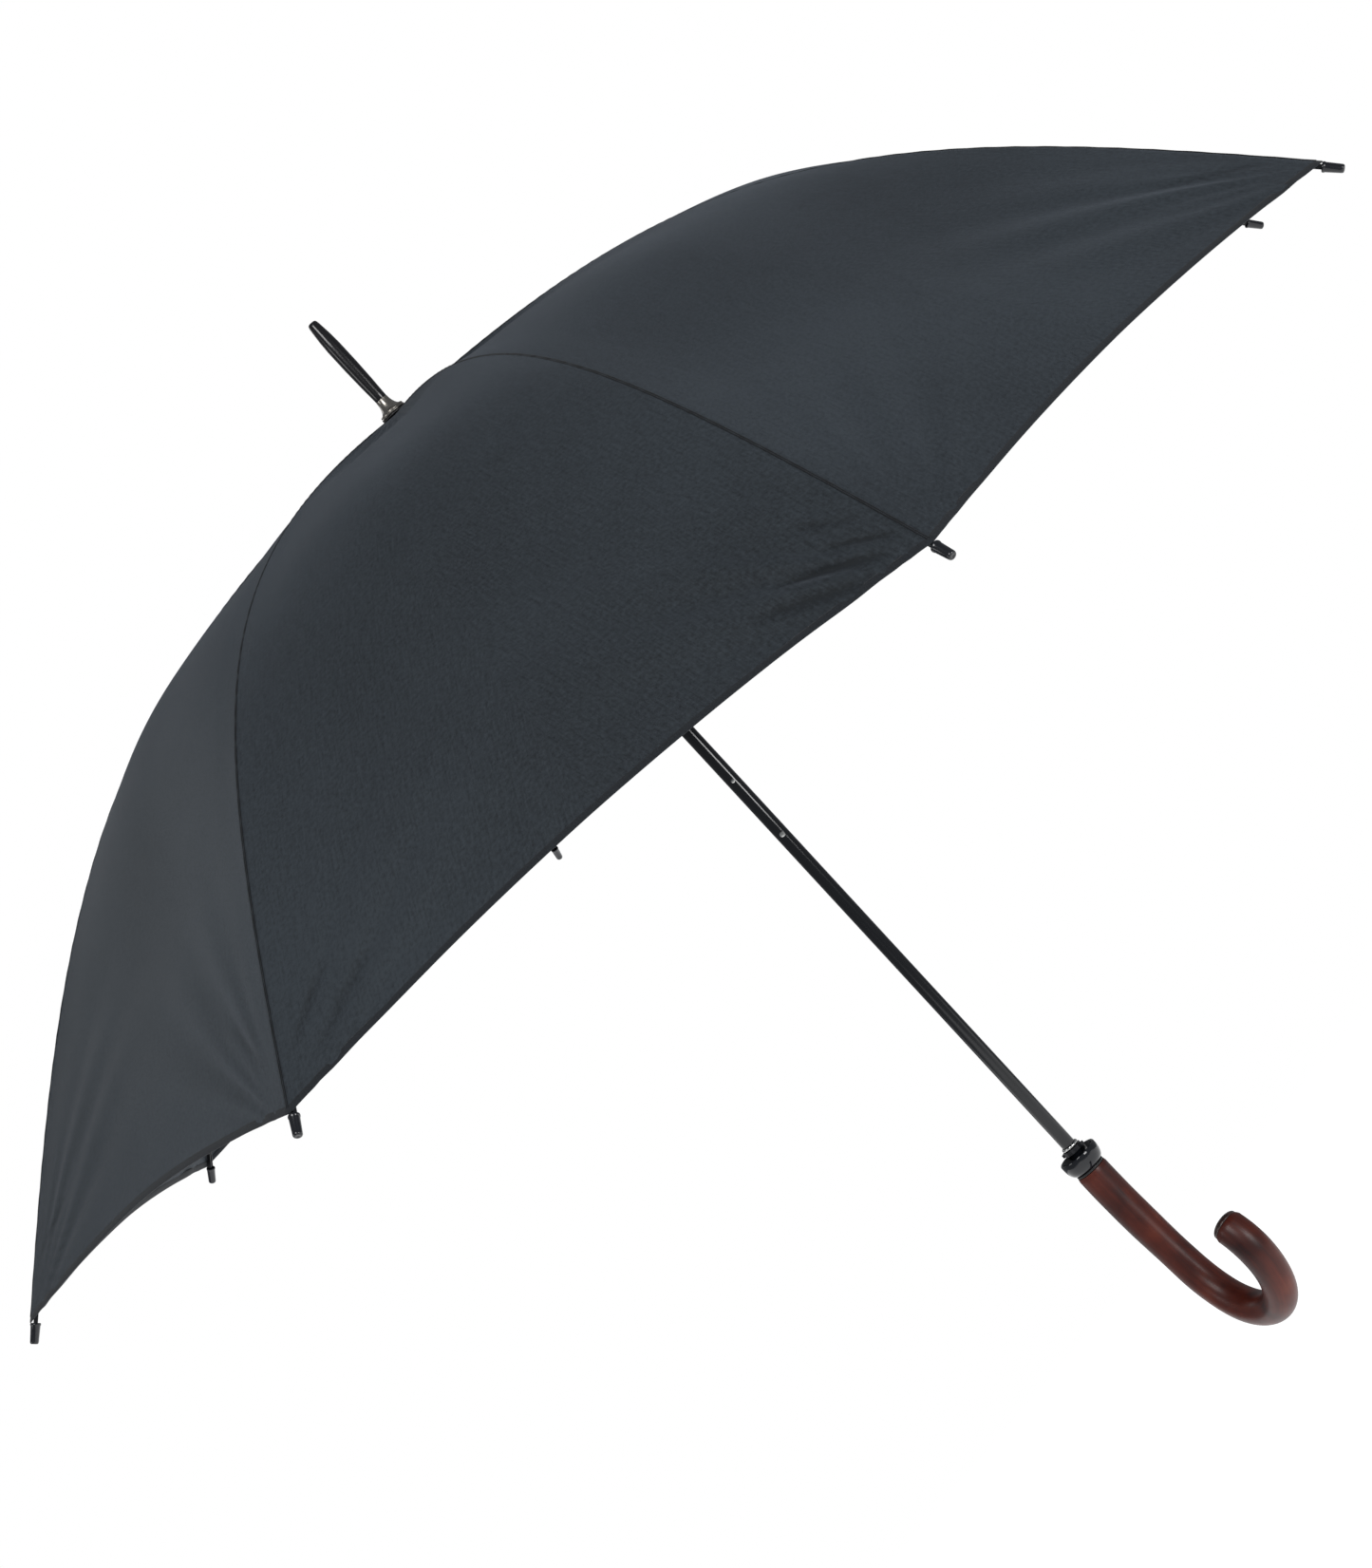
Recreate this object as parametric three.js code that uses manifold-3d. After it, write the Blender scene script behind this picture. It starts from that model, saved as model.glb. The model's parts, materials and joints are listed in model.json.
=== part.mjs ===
// Stick umbrella, open, standing upright: ferrule at the top (+Z), crook handle at the foot (-Z).
// All sizes are in millimetres. The shaft's axis is Z and the crook bends towards +X.
import * as THREE from 'three';
import Module from 'manifold-3d';

const wasm = await Module();
wasm.setup();

// ---------- driving dimensions ----------
const RIB_COUNT = 8;
const RIB_STEP = (2 * Math.PI) / RIB_COUNT;
const FIRST_RIB = THREE.MathUtils.degToRad(-9.4); // first rib's turn from the crook's plane
const CROWN_Z = 690; // top of the canopy above the middle of the grip
const GAP = 0.3; // clearance between touching pieces

const SHAFT_R = 4.8;
const SHAFT_BORE_R = 4.0;
const SHAFT_FOOT_Z = 8;
const SHAFT_TOP_Z = CROWN_Z + 5;

// line of a rib's fabric, as reach from the axis and drop below the crown
const ARC_START = [0, -0.3];
const ARC_RISE = [283.9, -19.2];
const ARC_BEND = [366.5, -83.9];
const ARC_END = [553.4, -289.3];
const HEM_T = 0.9885; // where the fabric ends along that line
const TIP_T = 0.9935; // where the rib ends, inside its tip cap
const CAP_T = 0.989; // where the tip cap starts
// each rib is bent a little differently: how far its tip stands over the common line
const RIB_LIFT = [1, 3.5, 2, 2.5, 3.5, 6, 15, 8];
const LIFT_FROM_T = 0.55;
// how far each gore's hem curves up between its two tips, as a share of the rib
const HEM_RISE = [0.016, 0.016, 0.016, 0.016, 0.016, 0.018, 0.024, 0.0195];
const HEM_CURVE = 1.75;
// swells and hollows down the middle of a gore, each as place along it, spread and height
const BILLOW = [[0.12, 0.09, -8.6], [0.47, 0.13, 9.5], [0.76, 0.1, -4.5]];
const FABRIC = 0.8;

const RIB_W = 2.8;
const RIB_H = 2.6;
const RIB_WALL = 0.6;
const RIB_CLEAR = 1.2; // room between a rib's back and the fabric over it
const RIB_DROP = FABRIC / 2 + RIB_CLEAR + RIB_H / 2;
const PIVOT_R = 8.6; // circle of the rib and stretcher pivots
const CROWN_PIVOT_Z = CROWN_Z - 9;
const LINK = 258; // crown pivot to rib joint, and rib joint to runner pivot
const BRACKET_DROP = 7; // the rib joint hangs this far under the rib's middle

const RUNNER_LENGTH = 120;
const COLLAR_TOP_Z = 40;
const COLLAR_R = 14;
const WOOD_R = 11.2;
const WOOD_TOP_Z = 26;

// ---------- materials ----------
const material = (color, roughness, metalness) =>
  new THREE.MeshStandardMaterial({ color, roughness, metalness });

// ---------- shared shape helpers ----------
const point = (x, y) => new THREE.Vector2(x, y);

/** A turned piece: the outline (radius, height) closes on itself and spins about Z. */
function turned(outline, segments = 24) {
  const ring = [...outline, outline[0]].map(([r, z]) => point(r, z));
  const shape = new THREE.LatheGeometry(ring, segments);
  shape.rotateX(Math.PI / 2);
  return shape;
}

/** Welds a three.js surface into a closed body for joining and cutting. */
function toBody(geometry) {
  const flat = geometry.index ? geometry.toNonIndexed() : geometry;
  const place = flat.attributes.position;
  const seen = new Map();
  const vertices = [];
  const triangles = [];
  for (let i = 0; i < place.count; i += 3) {
    const corner = [0, 1, 2].map((j) => {
      const p = [place.getX(i + j), place.getY(i + j), place.getZ(i + j)];
      const key = p.map((v) => Math.round(v * 1e4)).join(',');
      if (!seen.has(key)) {
        seen.set(key, vertices.length / 3);
        vertices.push(...p);
      }
      return seen.get(key);
    });
    if (corner[0] !== corner[1] && corner[1] !== corner[2] && corner[0] !== corner[2]) {
      triangles.push(...corner);
    }
  }
  const mesh = new wasm.Mesh({
    numProp: 3,
    vertProperties: new Float32Array(vertices),
    triVerts: new Uint32Array(triangles),
  });
  const body = new wasm.Manifold(mesh);
  return body.volume() < 0 ? toBody(flipped(flat)) : body;
}

/** Turns every triangle of an unindexed surface over. */
function flipped(geometry) {
  const p = geometry.attributes.position.array.slice();
  for (let i = 0; i < p.length; i += 9) {
    for (let j = 0; j < 3; j++) {
      [p[i + 3 + j], p[i + 6 + j]] = [p[i + 6 + j], p[i + 3 + j]];
    }
  }
  const out = new THREE.BufferGeometry();
  out.setAttribute('position', new THREE.BufferAttribute(p, 3));
  return out;
}

/** Turns a closed body back into a three.js surface. */
function toGeometry(body) {
  const mesh = body.getMesh();
  const out = new THREE.BufferGeometry();
  out.setAttribute('position', new THREE.BufferAttribute(mesh.vertProperties.slice(), 3));
  out.setIndex(new THREE.BufferAttribute(mesh.triVerts.slice(), 1));
  return out;
}

/** A block given by its middle and its three sizes. */
const block = (x, y, z, dx, dy, dz) =>
  toBody(new THREE.BoxGeometry(dx, dy, dz).translate(x, y, z));

/** A short round bar along Y, through (x, z). */
const crossBar = (x, z, radius, length, y = 0, segments = 12) =>
  toBody(new THREE.CylinderGeometry(radius, radius, length, segments).translate(x, y, z));

const pieces = new THREE.Group();
pieces.name = 'stick_umbrella';

/** Adds one named piece, turned about the shaft's axis by the given angle. */
function add(name, shape, look, turn = 0) {
  const geometry = shape.getMesh ? toGeometry(shape) : shape;
  geometry.rotateZ(turn);
  geometry.computeVertexNormals();
  const mesh = new THREE.Mesh(geometry, look);
  mesh.name = name;
  pieces.add(mesh);
}

// ---------- line of the rib ----------
/** Point (reach, height) on the fabric's line over a rib, t from 0 at the crown to 1 at the tip. */
function fabricLine(t, lift = 0) {
  const s = 1 - t;
  const raised = lift * Math.max(0, (t - LIFT_FROM_T) / (1 - LIFT_FROM_T)) ** 2;
  const mix = (i) =>
    s ** 3 * ARC_START[i] + 3 * s * s * t * ARC_RISE[i] + 3 * s * t * t * ARC_BEND[i] + t ** 3 * ARC_END[i];
  return point(mix(0), mix(1) + CROWN_Z + raised);
}

/** Unit vector square to the fabric's line, pointing up and out. */
function fabricNormal(t, lift = 0) {
  const along = fabricLine(t + 1e-4, lift).sub(fabricLine(t - 1e-4, lift)).normalize();
  return point(-along.y, along.x);
}

/** Point on the middle of the rib, under the fabric. */
const ribLine = (t, lift = 0) =>
  fabricLine(t, lift).addScaledVector(fabricNormal(t, lift), -RIB_DROP);

/** The t at which the rib joint's bracket is one link away from the crown pivot. */
function jointAt() {
  let low = 0.2;
  let high = 0.8;
  for (let i = 0; i < 50; i++) {
    const t = (low + high) / 2;
    const p = ribLine(t).addScaledVector(fabricNormal(t), -BRACKET_DROP);
    const far = Math.hypot(p.x - PIVOT_R, p.y - CROWN_PIVOT_Z) > LINK;
    if (far) high = t;
    else low = t;
  }
  return low;
}
const JOINT_T = jointAt();
const JOINT = ribLine(JOINT_T).addScaledVector(fabricNormal(JOINT_T), -BRACKET_DROP);
const RUNNER_PIVOT_Z = 2 * JOINT.y - CROWN_PIVOT_Z;
const SPLIT_T = JOINT_T + 0.009; // where the inner length of a rib meets its outer length

// ---------- shaft and its fittings ----------
const CATCH_TURN = THREE.MathUtils.degToRad(-27); // where the catch and rivets sit round the shaft
const CATCH_Z = RUNNER_PIVOT_Z + 6 - RUNNER_LENGTH - GAP; // top of the catch, under the runner
const CATCH_W = 1.6;

const RIVETS = [
  ['slot_rivet_upper', CROWN_Z - 320, 0.8],
  ['slot_rivet_lower', CROWN_Z - 367, 1.2],
];

/** Tube from the handle to the crown, with a slot in its wall for the catch and holes for the rivets. */
function shaft() {
  const tube = toBody(turned([
    [SHAFT_BORE_R, SHAFT_FOOT_Z], [SHAFT_R, SHAFT_FOOT_Z],
    [SHAFT_R, SHAFT_TOP_Z], [SHAFT_BORE_R, SHAFT_TOP_Z],
  ], 32));
  const slot = new THREE.BoxGeometry(4, CATCH_W + 0.8, 11);
  slot.translate(SHAFT_R, 0, CATCH_Z - 4.7);
  slot.rotateZ(CATCH_TURN);
  let body = tube.subtract(toBody(slot));
  for (const [, z, radius] of RIVETS) {
    const hole = new THREE.CylinderGeometry(radius + GAP, radius + GAP, 4, 16);
    hole.rotateZ(Math.PI / 2);
    hole.translate(SHAFT_R, 0, z);
    hole.rotateZ(CATCH_TURN);
    body = body.subtract(toBody(hole));
  }
  add('shaft_tube', body, material(0x0b0c0e, 0.25, 0.6));
}

/** Ferrule rod with its spigot, which drops through the cup into the shaft. */
function ferrule() {
  const base = CROWN_Z + 13.8;
  const tip = CROWN_Z + 79.5;
  const outline = [[0, base - 12], [3.1, base - 12], [3.1, base], [4.2, base], [4.6, base + 20]];
  outline.push([4.7, tip - 19], [4.2, tip - 9], [3.6, tip - 3]);
  outline.push([3.2, tip - 1], [2.4, tip], [0, tip]);
  const shape = new THREE.LatheGeometry(outline.map(([r, z]) => point(r, z)), 24);
  shape.rotateX(Math.PI / 2);
  add('ferrule', shape, material(0x0a0a0c, 0.22, 0.3));
}

/** Flared metal cup between the ferrule and the fabric. */
function ferruleCup() {
  const z = CROWN_Z + 1.5;
  const outline = [[5.2, z], [9.1, z], [9.2, z + 0.6], [8.9, z + 1.4]];
  for (let i = 0; i <= 6; i++) {
    const a = (i / 6) * (Math.PI / 2);
    outline.push([8.6 - 4.3 * Math.sin(a), z + 12 - 9.8 * Math.cos(a)]);
  }
  outline.push([3.45, z + 12], [3.45, z + 4.2], [5.2, z + 4.2]);
  add('ferrule_cup', turned(outline), material(0x4a4a4d, 0.3, 0.9));
}

function rosetteWasher() {
  const z = CROWN_Z + 0.25;
  add('rosette_washer', turned([[5.2, z], [9.6, z], [9.6, z + 0.95], [5.2, z + 0.95]]),
    material(0x08080a, 0.6, 0));
}

/** Notched ring: eight slots hold the ends of the ribs or stretchers, a groove holds the wire. */
function notchedRing(outline, pivotZ, low, high) {
  let body = toBody(turned(outline, 32));
  body = body.subtract(toBody(turned([
    [PIVOT_R - 0.8, pivotZ - 0.8], [14, pivotZ - 0.8],
    [14, pivotZ + 0.8], [PIVOT_R - 0.8, pivotZ + 0.8],
  ], 32)));
  const middle = (low + high) / 2;
  for (let i = 0; i < RIB_COUNT; i++) {
    const slot = new THREE.BoxGeometry(8, 2.4, high - low);
    slot.translate(6.5 + 4, 0, middle);
    slot.rotateZ(FIRST_RIB + i * RIB_STEP);
    body = body.subtract(toBody(slot));
  }
  return body;
}

function crownNotch() {
  const low = CROWN_PIVOT_Z - 6;
  const high = CROWN_PIVOT_Z + 4;
  const body = notchedRing([
    [SHAFT_R + GAP, low], [10.8, low], [10.8, high], [SHAFT_R + GAP, high],
  ], CROWN_PIVOT_Z, low - 1, high + 1);
  add('crown_notch', body, material(0x1b1c1f, 0.45, 0.4));
}

/** Ring of wire that the eyes of ribs or stretchers turn on. */
function wireRing(name, z) {
  const shape = new THREE.TorusGeometry(PIVOT_R, 0.42, 8, 40);
  shape.translate(0, 0, z);
  add(name, shape, material(0x8c8c88, 0.35, 0.9));
}

function runner() {
  const z = RUNNER_PIVOT_Z;
  const foot = z + 6 - RUNNER_LENGTH;
  const body = notchedRing([
    [SHAFT_R + GAP, foot], [6.9, foot], [6.9, foot + 3], [6.3, foot + 3.6], [6.3, z - 18],
    [10.8, z - 8], [10.8, z + 6], [SHAFT_R + GAP, z + 6],
  ], z, z - 3.6, z + 7);
  add('runner_sleeve', body, material(0x0d0d0f, 0.35, 0.1));
  wireRing('runner_wire', z);
}

// ---------- catch and rivets on the shaft ----------
/** Spring tooth under the runner, standing out through its slot from a strip inside the tube. */
function topCatch() {
  const tooth = new THREE.Shape();
  tooth.moveTo(2.6, CATCH_Z);
  tooth.lineTo(2.6, CATCH_Z - 40);
  tooth.lineTo(3.2, CATCH_Z - 40);
  tooth.lineTo(3.2, CATCH_Z - 9);
  tooth.lineTo(SHAFT_R + 0.2, CATCH_Z - 9);
  tooth.lineTo(SHAFT_R + 2.2, CATCH_Z - 1.5);
  tooth.lineTo(SHAFT_R + 2.2, CATCH_Z);
  tooth.closePath();
  const shape = new THREE.ExtrudeGeometry(tooth, { depth: CATCH_W, bevelEnabled: false });
  shape.translate(0, 0, -CATCH_W / 2);
  shape.rotateX(Math.PI / 2);
  add('top_catch', shape, material(0x9a9a98, 0.3, 0.9), CATCH_TURN);
}

/** Bright rivet through the shaft's wall, flush outside, with a wider head inside the tube. */
function shaftRivet(name, z, radius) {
  const inside = SHAFT_BORE_R - 3 * GAP;
  const outline = [[0, inside - 0.7], [radius + 0.6, inside - 0.7]];
  outline.push([radius + 0.6, inside], [radius, inside]);
  outline.push([radius, SHAFT_R - 0.1], [radius * 0.8, SHAFT_R + 0.05], [0, SHAFT_R + 0.1]);
  const rivet = new THREE.LatheGeometry(outline.map(([r, reach]) => point(r, reach)), 16);
  rivet.rotateZ(-Math.PI / 2);
  rivet.translate(0, 0, z);
  add(name, rivet, material(0xb8b8b6, 0.25, 0.95), CATCH_TURN);
}

/** Bright ring round the foot of the shaft, and the lock plate with two lugs under it. */
function shaftFoot() {
  const z = COLLAR_TOP_Z + 2;
  add('foot_ring', turned([
    [SHAFT_R + GAP, z + 3.4], [5.8, z + 3.4], [6.1, z + 4.4], [5.8, z + 5.4], [SHAFT_R + GAP, z + 5.4],
  ]), material(0xc4c6c4, 0.25, 0.9));
  let plate = toBody(turned([
    [SHAFT_R + GAP, z], [6.9, z], [6.9, z + 3.1], [SHAFT_R + GAP, z + 3.1],
  ]));
  plate = plate.add(block(7.4, 0, z + 1.2, 2.6, 4, 2.2));
  plate = plate.add(block(-7.4, 0, z + 1.2, 2.6, 4, 2.2));
  add('lock_plate', plate, material(0x141416, 0.4, 0.5), CATCH_TURN + Math.PI / 3);
}

// ---------- handle ----------
function handleCollar() {
  const low = WOOD_TOP_Z + 2.2;
  const rise = COLLAR_TOP_Z - low;
  const outline = [[SHAFT_R + GAP, low], [WOOD_R - 1, low]];
  for (let i = 1; i <= 7; i++) {
    const a = (i / 7) * (Math.PI / 2);
    const reach = WOOD_R - 1 + (COLLAR_R - WOOD_R + 1) * Math.sin(a);
    outline.push([reach, low + (rise - 3) * (1 - Math.cos(a))]);
  }
  outline.push([COLLAR_R, COLLAR_TOP_Z - 0.6], [COLLAR_R - 0.6, COLLAR_TOP_Z]);
  outline.push([COLLAR_R - 1.4, COLLAR_TOP_Z], [COLLAR_R - 1.6, COLLAR_TOP_Z - 0.6]);
  outline.push([COLLAR_R - 2.2, low + 5], [COLLAR_R - 4.5, low + 2.6], [SHAFT_R + GAP, low + 2.2]);
  add('handle_collar', turned(outline, 32), material(0x101114, 0.2, 0.5));
}

function neckBand() {
  const z = WOOD_TOP_Z + GAP;
  add('neck_band', turned([
    [SHAFT_R + GAP, z], [WOOD_R - 0.4, z], [WOOD_R - 0.4, z + 1.6], [SHAFT_R + GAP, z + 1.6],
  ], 32), material(0x060607, 0.5, 0));
}

// the crook: a nearly straight grip, then the hook, each bend given as [length, radius]
const CROOK_RUN = [
  [30, 303], [30, 446], [30, 717], [28, 67], [26, 41.5], [30, 42.7], [70, 41.1], [4.3, Infinity],
];

/** Middle line of the wood from its top down and round to its end, in the XZ plane. */
function crookLine() {
  const line = [new THREE.Vector3(0, 0, WOOD_TOP_Z)];
  let heading = 0;
  let x = 0;
  let z = WOOD_TOP_Z;
  for (const [length, radius] of CROOK_RUN) {
    const steps = Math.max(2, Math.round(length / 6));
    for (let i = 0; i < steps; i++) {
      const turn = length / radius / steps;
      x += (length / steps) * Math.sin(heading + turn / 2);
      z -= (length / steps) * Math.cos(heading + turn / 2);
      heading += turn;
      line.push(new THREE.Vector3(x, 0, z));
    }
  }
  return line;
}

/** Closed tube along a line in the XZ plane, with a radius for each point of the line. */
function bentBar(line, radii, around = 24) {
  const positions = [];
  const triangles = [];
  line.forEach((p, i) => {
    const before = line[Math.max(0, i - 1)];
    const after = line[Math.min(line.length - 1, i + 1)];
    const along = after.clone().sub(before).normalize();
    const side = new THREE.Vector3(0, 1, 0);
    const out = new THREE.Vector3().crossVectors(side, along);
    for (let j = 0; j < around; j++) {
      const a = (j / around) * 2 * Math.PI;
      const q = p.clone().addScaledVector(out, radii[i] * Math.cos(a));
      q.addScaledVector(side, radii[i] * Math.sin(a));
      positions.push(q.x, q.y, q.z);
    }
  });
  const ring = (i, j) => i * around + (j % around);
  for (let i = 0; i < line.length - 1; i++) {
    for (let j = 0; j < around; j++) {
      triangles.push(ring(i, j), ring(i + 1, j), ring(i + 1, j + 1));
      triangles.push(ring(i, j), ring(i + 1, j + 1), ring(i, j + 1));
    }
  }
  const last = line.length - 1;
  positions.push(line[0].x, line[0].y, line[0].z, line[last].x, line[last].y, line[last].z);
  const start = positions.length / 3 - 2;
  for (let j = 0; j < around; j++) {
    triangles.push(start, ring(0, j), ring(0, j + 1));
    triangles.push(start + 1, ring(last, j + 1), ring(last, j));
  }
  const shape = new THREE.BufferGeometry();
  shape.setAttribute('position', new THREE.BufferAttribute(new Float32Array(positions), 3));
  shape.setIndex(triangles);
  return shape;
}

function handleCrook() {
  const line = crookLine();
  const radii = line.map((p, i) => (i === line.length - 1 ? WOOD_R - 0.9 : WOOD_R));
  let wood = toBody(bentBar(line, radii));
  wood = wood.subtract(toBody(turned([
    [0, SHAFT_FOOT_Z - 1], [SHAFT_R + GAP, SHAFT_FOOT_Z - 1],
    [SHAFT_R + GAP, WOOD_TOP_Z + 5], [0, WOOD_TOP_Z + 5],
  ], 24)));
  add('handle_crook', wood, material(0x4a1f18, 0.35, 0));
  const end = line[line.length - 1];
  const back = line[line.length - 2];
  const along = end.clone().sub(back).normalize();
  const rim = WOOD_R - 0.9;
  const cap = [[0, 0], [rim, 0], [rim, 0.5], [rim * 0.92, 1.9]];
  cap.push([rim * 0.7, 3.5], [rim * 0.4, 4.6], [0, 5]);
  const button = new THREE.LatheGeometry(cap.map(([r, z]) => point(r, z + GAP)), 24);
  button.applyQuaternion(new THREE.Quaternion().setFromUnitVectors(new THREE.Vector3(0, 1, 0), along));
  button.translate(end.x, end.y, end.z);
  add('handle_end_cap', button, material(0x2b1512, 0.4, 0));
}

// ---------- ribs ----------
/** Channel bar along a line in the XZ plane, open on the side away from the fabric. */
function channel(line) {
  const h = RIB_H / 2;
  const w = RIB_W / 2;
  const t = RIB_WALL;
  const section = [
    [-w, h], [w, h], [w, -h], [w - t, -h], [w - t, h - t], [-w + t, h - t], [-w + t, -h], [-w, -h],
  ];
  const n = section.length;
  const positions = [];
  const triangles = [];
  line.forEach((p, i) => {
    const along = line[Math.min(line.length - 1, i + 1)].clone().sub(line[Math.max(0, i - 1)]).normalize();
    for (const [side, up] of section) {
      positions.push(p.x - along.y * up, side, p.y + along.x * up);
    }
  });
  for (let i = 0; i < line.length - 1; i++) {
    for (let j = 0; j < n; j++) {
      const a = i * n + j;
      const b = i * n + ((j + 1) % n);
      triangles.push(a, a + n, b + n, a, b + n, b);
    }
  }
  const cap = [[0, 1, 4], [0, 4, 5], [1, 2, 3], [1, 3, 4], [0, 5, 6], [0, 6, 7]];
  const last = (line.length - 1) * n;
  for (const [a, b, c] of cap) {
    triangles.push(a, b, c, last + a, last + c, last + b);
  }
  const shape = new THREE.BufferGeometry();
  shape.setAttribute('position', new THREE.BufferAttribute(new Float32Array(positions), 3));
  shape.setIndex(triangles);
  return toBody(shape);
}

/** Points on the rib's middle from t0 to t1. */
function ribPoints(t0, t1, steps, lift = 0) {
  return Array.from({ length: steps + 1 }, (_, i) => ribLine(t0 + ((t1 - t0) * i) / steps, lift));
}

/** Rib from its eye at the crown to just past the bracket for the stretcher. */
function innerRib() {
  const start = ribLine(0.035);
  let body = channel([start, ...ribPoints(0.06, SPLIT_T, 9)]);
  const eye = crossBar(PIVOT_R, CROWN_PIVOT_Z, 1.9, 1.7);
  const neckShape = new THREE.Shape();
  neckShape.moveTo(PIVOT_R, CROWN_PIVOT_Z - 1.2);
  neckShape.lineTo(start.x + 4, start.y - 1.1);
  neckShape.lineTo(start.x + 4, start.y + 1);
  neckShape.lineTo(start.x, start.y + 1.1);
  neckShape.lineTo(PIVOT_R, CROWN_PIVOT_Z + 1.7);
  neckShape.closePath();
  const neck = new THREE.ExtrudeGeometry(neckShape, { depth: 1.7, bevelEnabled: false });
  neck.translate(0, 0, -0.85);
  neck.rotateX(Math.PI / 2);
  body = body.add(eye).add(toBody(neck));
  body = body.subtract(crossBar(PIVOT_R, CROWN_PIVOT_Z, 0.85, 6));
  const up = fabricNormal(JOINT_T);
  const tabShape = new THREE.Shape();
  const along = point(up.y, -up.x);
  const corner = (a, u) => JOINT.clone().addScaledVector(along, a).addScaledVector(up, u);
  const top = BRACKET_DROP + 0.9;
  const corners = [corner(-1.9, 0), corner(-3.4, top), corner(3.2, top), corner(1.9, 0)];
  tabShape.moveTo(corners[0].x, corners[0].y);
  corners.slice(1).forEach((c) => tabShape.lineTo(c.x, c.y));
  tabShape.closePath();
  const tab = new THREE.ExtrudeGeometry(tabShape, { depth: 1.2, bevelEnabled: false });
  tab.translate(0, 0, -0.6);
  tab.rotateX(Math.PI / 2);
  body = body.add(toBody(tab)).add(crossBar(JOINT.x, JOINT.y, 1.9, 1.2));
  return body.subtract(crossBar(JOINT.x, JOINT.y, 0.9, 3));
}

function outerRib(lift) {
  const step = GAP / fabricLine(1).distanceTo(fabricLine(0));
  return channel(ribPoints(SPLIT_T + step * 1.1, TIP_T, 12, lift));
}

/** Cap on a rib's outer end: a tube with a domed end. */
function tipCap(lift) {
  const a = ribLine(CAP_T, lift);
  const end = ribLine(1, lift);
  const along = new THREE.Vector3(end.x - a.x, 0, end.y - a.y).normalize();
  const length = 12.4;
  const outline = [[2.2, 0], [3.0, 0], [3.2, 0.5], [3.2, 1.3], [2.9, 1.7], [2.6, length - 1.6]];
  outline.push([2.2, length - 0.5], [1.3, length], [0, length], [0, length - 4], [2.2, length - 4]);
  const shape = new THREE.LatheGeometry([...outline, outline[0]].map(([r, z]) => point(r, z)), 12);
  shape.applyQuaternion(new THREE.Quaternion().setFromUnitVectors(new THREE.Vector3(0, 1, 0), along));
  shape.translate(a.x, 0, a.y);
  return shape;
}

/** Stretcher from the runner's ring to the rib's bracket, with a fork and pin at the far end. */
function stretcher() {
  const from = point(PIVOT_R, RUNNER_PIVOT_Z);
  const along = JOINT.clone().sub(from).normalize();
  const at = (d) => from.clone().addScaledVector(along, d);
  const up = point(-along.y, along.x);
  const bar = (d0, d1, high, wide, y = 0) => {
    const s = new THREE.Shape();
    const c = [[d0, -high / 2], [d1, -high / 2], [d1, high / 2], [d0, high / 2]].map(([d, u]) =>
      at(d).addScaledVector(up, u));
    s.moveTo(c[0].x, c[0].y);
    c.slice(1).forEach((p) => s.lineTo(p.x, p.y));
    s.closePath();
    const g = new THREE.ExtrudeGeometry(s, { depth: wide, bevelEnabled: false });
    g.translate(0, 0, -wide / 2);
    g.rotateX(Math.PI / 2);
    return toBody(g.translate(0, y, 0));
  };
  let body = channel([at(9), at(LINK - 9)]);
  body = body.add(crossBar(from.x, from.y, 1.9, 1.7)).add(bar(0, 12, 2.2, 1.7));
  body = body.subtract(crossBar(from.x, from.y, 0.85, 6));
  body = body.add(bar(LINK - 14, LINK - 8, 2.6, 3.4));
  for (const y of [-1.35, 1.35]) {
    body = body.add(bar(LINK - 11, LINK, 2.6, 0.7, y)).add(crossBar(JOINT.x, JOINT.y, 1.7, 0.7, y));
  }
  return body.add(crossBar(JOINT.x, JOINT.y, 0.58, 3.4));
}

// ---------- canopy ----------
/** How far the middle of a gore stands over its straight line between two ribs, v from crown to hem. */
function billow(v) {
  const swell = ([at, spread, height]) => height * Math.exp(-(((v - at) / spread) ** 2));
  return BILLOW.reduce((sum, row) => sum + swell(row), 0) * Math.min(1, v / 0.05);
}

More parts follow.
